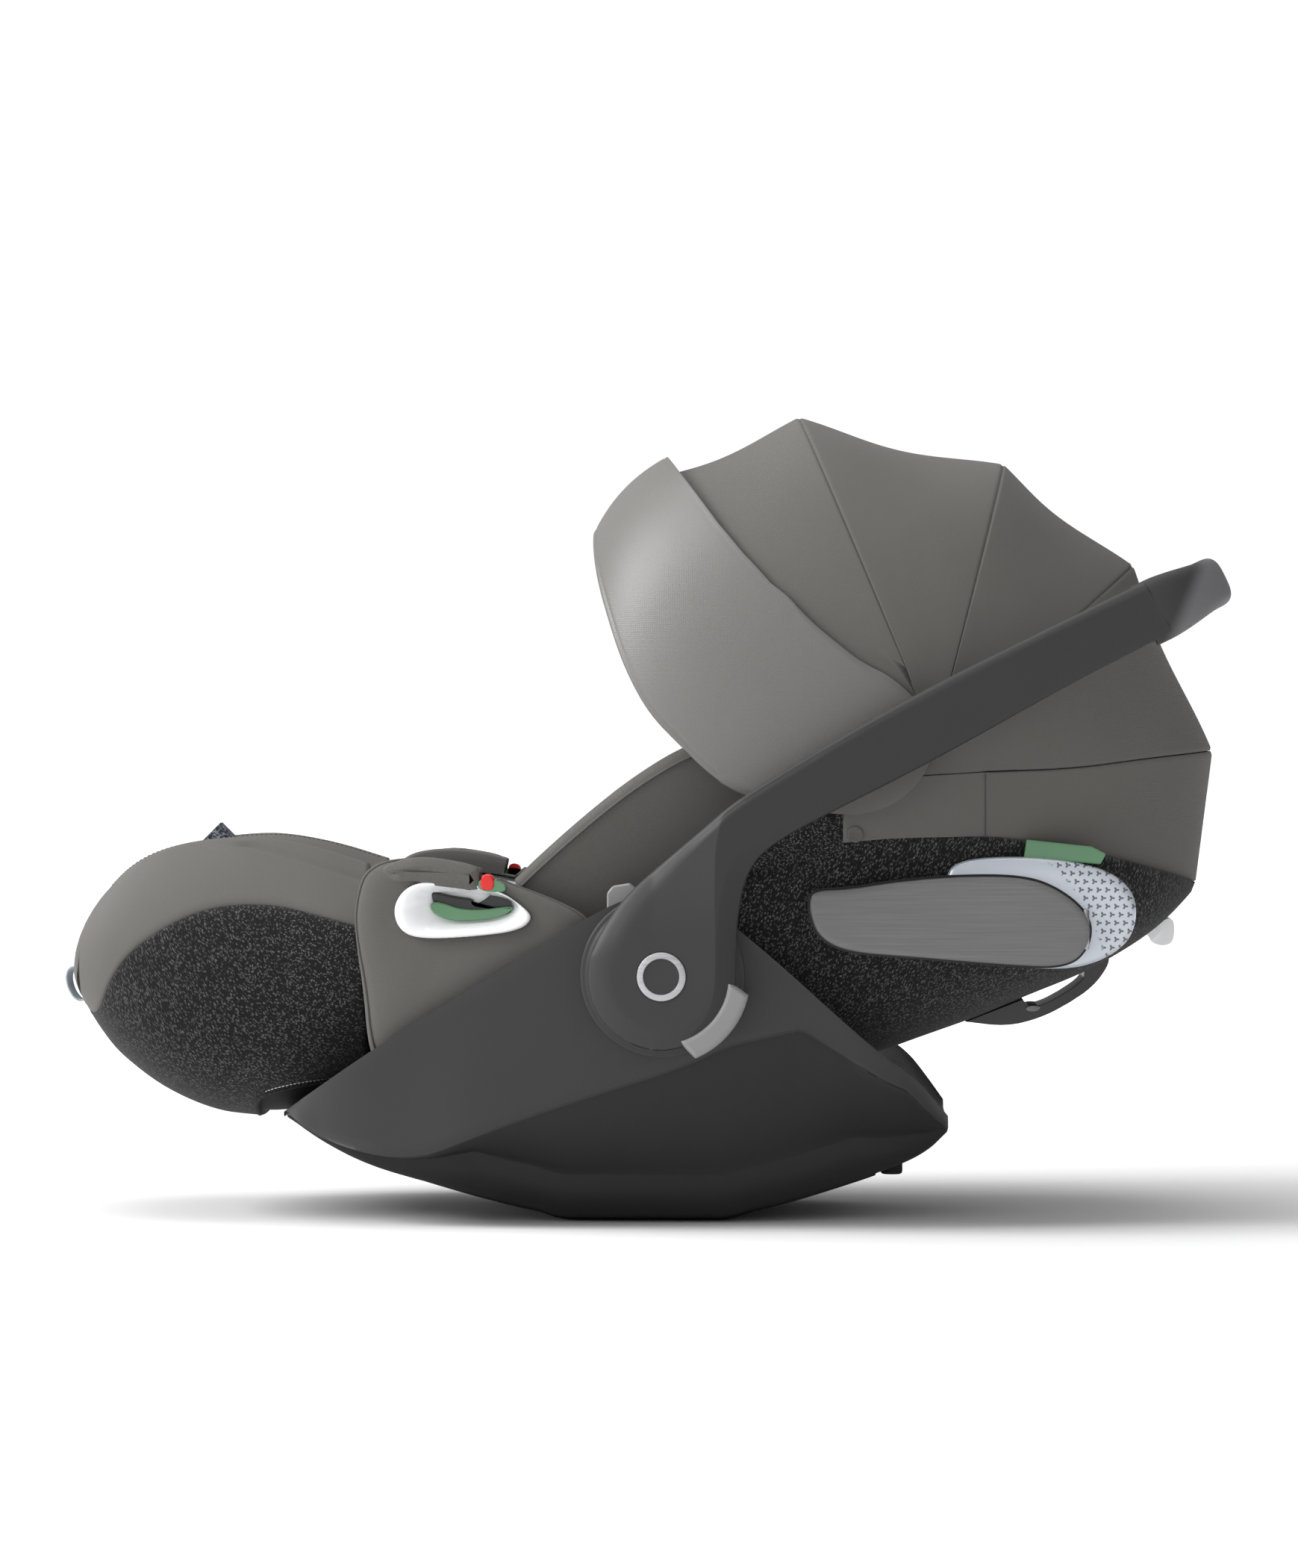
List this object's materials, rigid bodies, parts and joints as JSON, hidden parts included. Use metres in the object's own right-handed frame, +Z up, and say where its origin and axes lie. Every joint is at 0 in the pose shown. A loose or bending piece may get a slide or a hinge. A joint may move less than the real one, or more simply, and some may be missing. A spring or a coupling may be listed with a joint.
{
  "type": "infant car seat",
  "caption": "Lie-flat infant car seat on a rocker base, with a folding pleated canopy, swinging carry handle, extending leg rest and reclining padded shell.",
  "frame": {"origin": "on the ground under the middle of the rocker, at the middle of its flat patch", "axes": "+X towards the head end, +Z up, Y=0 is the mirror plane, near side in the front view is -Y"},
  "size_m": [0.8444, 0.44, 0.5826],
  "materials": {
    "shell_grey": "fine satin texture",
    "dark_plastic": "satin",
    "rubber_black": "matte",
    "steel": "brushed",
    "fabric_grey": "fine plain weave",
    "knit_black": "boucle knit with light flecks",
    "webbing": "woven webbing",
    "white_plastic": "gloss",
    "green_plastic": "satin gloss",
    "red_plastic": "gloss",
    "button_grey": "satin",
    "grip_grey": "soft touch",
    "badge_silver": "satin metallic",
    "housing_silver": "satin metallic",
    "plate_brushed": "brushed metallic",
    "shell_inner": "satin",
    "label": "speckled weave"
  },
  "bodies": {
    "root": {"base_shell": "shell_grey", "skid_plate": "dark_plastic", "rocker_feet": "rubber_black", "latch_bars": "steel", "hub_bearings": "shell_grey", "hub_pins": "steel", "seat_pan": "shell_inner", "seat_cushion": "fabric_grey", "side_cover_l": "fabric_grey", "side_cover_r": "fabric_grey", "belt_guide_l": "white_plastic", "belt_guide_r": "white_plastic", "guide_liners": "green_plastic", "belt_latches": "red_plastic", "crotch_strap": "webbing", "buckle": "dark_plastic", "strap_tongues": "steel", "adjuster": "dark_plastic", "adjuster_strap": "webbing"},
    "buckle_press": {"buckle_button": "red_plastic"},
    "adjuster_press": {"adjuster_button": "button_grey"},
    "adapter_l": {"adapter_button_l": "button_grey"},
    "adapter_r": {"adapter_button_r": "button_grey"},
    "legrest": {"leg_shell": "shell_inner", "leg_pad": "fabric_grey", "leg_sling": "knit_black", "pull_loop": "button_grey", "leg_label": "label"},
    "backrest": {"head_shell": "knit_black", "back_pad": "fabric_grey", "belt_hook": "dark_plastic", "rear_guides": "green_plastic", "lsp_housing_l": "housing_silver", "lsp_housing_r": "housing_silver", "lsp_pins": "steel", "canopy_mounts": "dark_plastic", "rear_curtain": "fabric_grey", "canopy_rib_4": "dark_plastic", "canopy_panel_a": "fabric_grey"},
    "lever": {"recline_lever": "white_plastic"},
    "head": {"headrest": "fabric_grey", "shoulder_pads": "fabric_grey", "shoulder_straps": "webbing"},
    "lsp_l": {"lsp_plate_l": "plate_brushed"},
    "lsp_r": {"lsp_plate_r": "plate_brushed"},
    "hoop_3": {"canopy_rib_3": "dark_plastic", "canopy_panel_b": "fabric_grey"},
    "hoop_2": {"canopy_rib_2": "dark_plastic", "canopy_panel_c": "fabric_grey"},
    "hoop_1": {"canopy_rib_1": "dark_plastic", "canopy_panel_d": "fabric_grey"},
    "visor": {"visor": "fabric_grey"},
    "handle": {"handle_arm_l": "shell_grey", "handle_arm_r": "shell_grey", "handle_grip": "grip_grey", "hub_badges": "badge_silver"},
    "release_l": {"release_button_l": "button_grey"},
    "release_r": {"release_button_r": "button_grey"}
  },
  "joints": [
    {"name": "handle_pivot", "type": "hinge", "parent": "root", "child": "handle", "pos_m": [0.0157, 0, 0.1806], "axis": [0, -1, 0], "range_deg": [-50, 60]},
    {"name": "release_left", "type": "slide", "parent": "handle", "child": "release_l", "axis": [-0.788, 0, 0.6157], "range_m": [0, 0.004], "stiffness_N_per_m": 900},
    {"name": "release_right", "type": "slide", "parent": "handle", "child": "release_r", "axis": [-0.788, 0, 0.6157], "range_m": [0, 0.004], "stiffness_N_per_m": 900},
    {"name": "backrest_recline", "type": "hinge", "parent": "root", "child": "backrest", "pos_m": [0.0157, 0, 0.1806], "axis": [0, -1, 0], "range_deg": [0, 22]},
    {"name": "legrest_slide", "type": "slide", "parent": "root", "child": "legrest", "axis": [0.9579, 0, 0.287], "range_m": [0, 0.0402]},
    {"name": "headrest_slide", "type": "slide", "parent": "backrest", "child": "head", "axis": [0.9673, 0, 0.2537], "range_m": [-0.05, 0.01], "deforming": ["shoulder_straps"]},
    {"name": "recline_lever_pull", "type": "hinge", "parent": "backrest", "child": "lever", "pos_m": [0.369, 0, 0.205], "axis": [0, 1, 0], "range_deg": [0, 14], "stiffness_Nm_per_rad": 0.6},
    {"name": "side_guard_left", "type": "hinge", "parent": "backrest", "child": "lsp_l", "pos_m": [0.3135, -0.1855, 0.212], "axis": [0, 0, 1], "range_deg": [0, 60]},
    {"name": "side_guard_right", "type": "hinge", "parent": "backrest", "child": "lsp_r", "pos_m": [0.3135, 0.1855, 0.212], "axis": [0, 0, -1], "range_deg": [0, 60]},
    {"name": "canopy_fold", "type": "hinge", "parent": "backrest", "child": "hoop_3", "pos_m": [0.151, 0, 0.351], "axis": [0, 1, 0], "range_deg": [0, 25], "deforming": ["canopy_panel_a"]},
    {"name": "rib_2_fold", "type": "hinge", "parent": "hoop_3", "child": "hoop_2", "pos_m": [0.151, 0, 0.351], "axis": [0, 1, 0], "range_deg": [0, 21.1], "deforming": ["canopy_panel_b"]},
    {"name": "rib_1_fold", "type": "hinge", "parent": "hoop_2", "child": "hoop_1", "pos_m": [0.151, 0, 0.351], "axis": [0, 1, 0], "range_deg": [0, 28.1], "deforming": ["canopy_panel_c"]},
    {"name": "visor_fold", "type": "hinge", "parent": "hoop_1", "child": "visor", "pos_m": [0.151, 0, 0.351], "axis": [0, 1, 0], "range_deg": [0, 18.1], "deforming": ["canopy_panel_d"]},
    {"name": "buckle_press", "type": "slide", "parent": "root", "child": "buckle_press", "axis": [-0.9397, 0, 0.342], "range_m": [0, 0.0035], "stiffness_N_per_m": 600},
    {"name": "adjuster_press", "type": "slide", "parent": "root", "child": "adjuster_press", "axis": [0, 0, -1], "range_m": [0, 0.0025], "stiffness_N_per_m": 600},
    {"name": "adapter_press_left", "type": "slide", "parent": "root", "child": "adapter_l", "axis": [0, 0, -1], "range_m": [0, 0.003], "stiffness_N_per_m": 700},
    {"name": "adapter_press_right", "type": "slide", "parent": "root", "child": "adapter_r", "axis": [0, 0, -1], "range_m": [0, 0.003], "stiffness_N_per_m": 700}
  ],
  "couplings": [
    {"joint": "legrest_slide", "follows": "backrest_recline", "m_per_rad": 0.10417},
    {"joint": "rib_2_fold", "follows": "canopy_fold", "ratio": 0.84},
    {"joint": "rib_1_fold", "follows": "canopy_fold", "ratio": 1.12},
    {"joint": "visor_fold", "follows": "canopy_fold", "ratio": 0.72}
  ]
}
